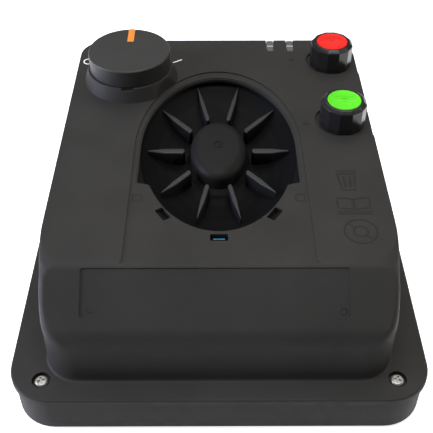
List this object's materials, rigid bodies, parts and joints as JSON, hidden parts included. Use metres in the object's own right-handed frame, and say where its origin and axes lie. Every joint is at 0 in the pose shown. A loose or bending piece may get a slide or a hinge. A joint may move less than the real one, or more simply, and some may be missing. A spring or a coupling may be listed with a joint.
{
  "type": "fence energizer",
  "caption": "Flanged black wall-mounting electric fence energizer with an oval ribbed dish, a rotary switch, fence and earth screw terminals and indicator windows.",
  "frame": {"origin": "middle of the flat back of the housing", "axes": "+X to the right seen from the front, +Y to the top of the unit as it hangs on a wall, +Z out of the front face"},
  "size_m": [0.202, 0.2526, 0.0934],
  "materials": {
    "housing": "fine satin grain",
    "dish": "semi-gloss",
    "knob_black": "satin",
    "pointer_orange": "satin",
    "cap_red": "semi-gloss",
    "cap_green": "semi-gloss",
    "light_guide": "frosted clear",
    "lamp": "clear",
    "nylon": "matte",
    "rubber": "matte",
    "steel": "nickel plated",
    "brass": "satin",
    "board": "solder mask",
    "lamination": "varnished",
    "copper": "enamelled",
    "heat_sink": "plain",
    "component_blue": "moulded",
    "component_black": "moulded"
  },
  "bodies": {
    "housing": {"back_shell": "housing", "housing_gasket": "rubber", "front_cover": "housing", "ribbed_dish": "dish", "switch_body": "component_black", "switch_seal": "rubber", "switch_nut": "steel", "fence_terminal_seat": "housing", "fence_seat_nut": "nylon", "fence_stud": "steel", "fence_stud_nut": "steel", "fence_ring_tag": "brass", "earth_terminal_seat": "housing", "earth_seat_nut": "nylon", "earth_stud": "steel", "earth_stud_nut": "steel", "earth_ring_tag": "brass", "light_guide_1": "light_guide", "light_guide_2": "light_guide", "lamp_1": "lamp", "lamp_2": "lamp", "cover_screw_1": "steel", "cover_screw_2": "steel", "cover_screw_3": "steel", "cover_screw_4": "steel", "circuit_board": "board", "board_screw_1": "steel", "board_screw_2": "steel", "board_screw_3": "steel", "board_screw_4": "steel", "transformer_core": "lamination", "transformer_bobbin": "nylon", "transformer_winding": "copper", "storage_capacitor_1": "component_blue", "storage_capacitor_2": "component_blue", "heat_sink": "heat_sink", "thyristor": "component_black", "fuse_holder": "brass", "fuse_link": "lamp", "varistor": "component_blue", "filter_capacitor": "component_black", "control_chip": "component_black", "lead_connector": "nylon", "supply_transformer": "component_black", "inlet_body": "housing", "inlet_nut": "nylon", "inlet_seal": "rubber", "fence_lead": "cap_red", "earth_lead": "cap_green", "switch_lead_1": "component_black", "switch_lead_2": "component_black"},
    "rotary_knob": {"knob": "knob_black", "knob_pointer": "pointer_orange", "switch_shaft": "brass"},
    "fence_clamp": {"fence_clamp_washer": "steel"},
    "fence_screw": {"fence_knob": "knob_black", "fence_knob_cap": "cap_red"},
    "earth_clamp": {"earth_clamp_washer": "steel"},
    "earth_screw": {"earth_knob": "knob_black", "earth_knob_cap": "cap_green"}
  },
  "joints": [
    {"name": "knob_turn", "type": "hinge", "parent": "housing", "child": "rotary_knob", "pos_m": [-0.0521, 0.0688, 0.0831], "axis": [0, 0, 1], "range_deg": [-58, 58]},
    {"name": "fence_lift", "type": "slide", "parent": "housing", "child": "fence_clamp", "axis": [0, 0, 1], "range_m": [0, 0.003]},
    {"name": "fence_turn", "type": "hinge", "parent": "fence_clamp", "child": "fence_screw", "pos_m": [0.0695, 0.0857, 0.082], "axis": [0, 0, 1], "range_deg": [0, 1080]},
    {"name": "earth_lift", "type": "slide", "parent": "housing", "child": "earth_clamp", "axis": [0, 0, 1], "range_m": [0, 0.003]},
    {"name": "earth_turn", "type": "hinge", "parent": "earth_clamp", "child": "earth_screw", "pos_m": [0.0695, 0.0244, 0.082], "axis": [0, 0, 1], "range_deg": [0, 1080]}
  ],
  "couplings": [
    {"joint": "fence_lift", "follows": "fence_turn", "m_per_rad": 0.00015915},
    {"joint": "earth_lift", "follows": "earth_turn", "m_per_rad": 0.00015915}
  ]
}
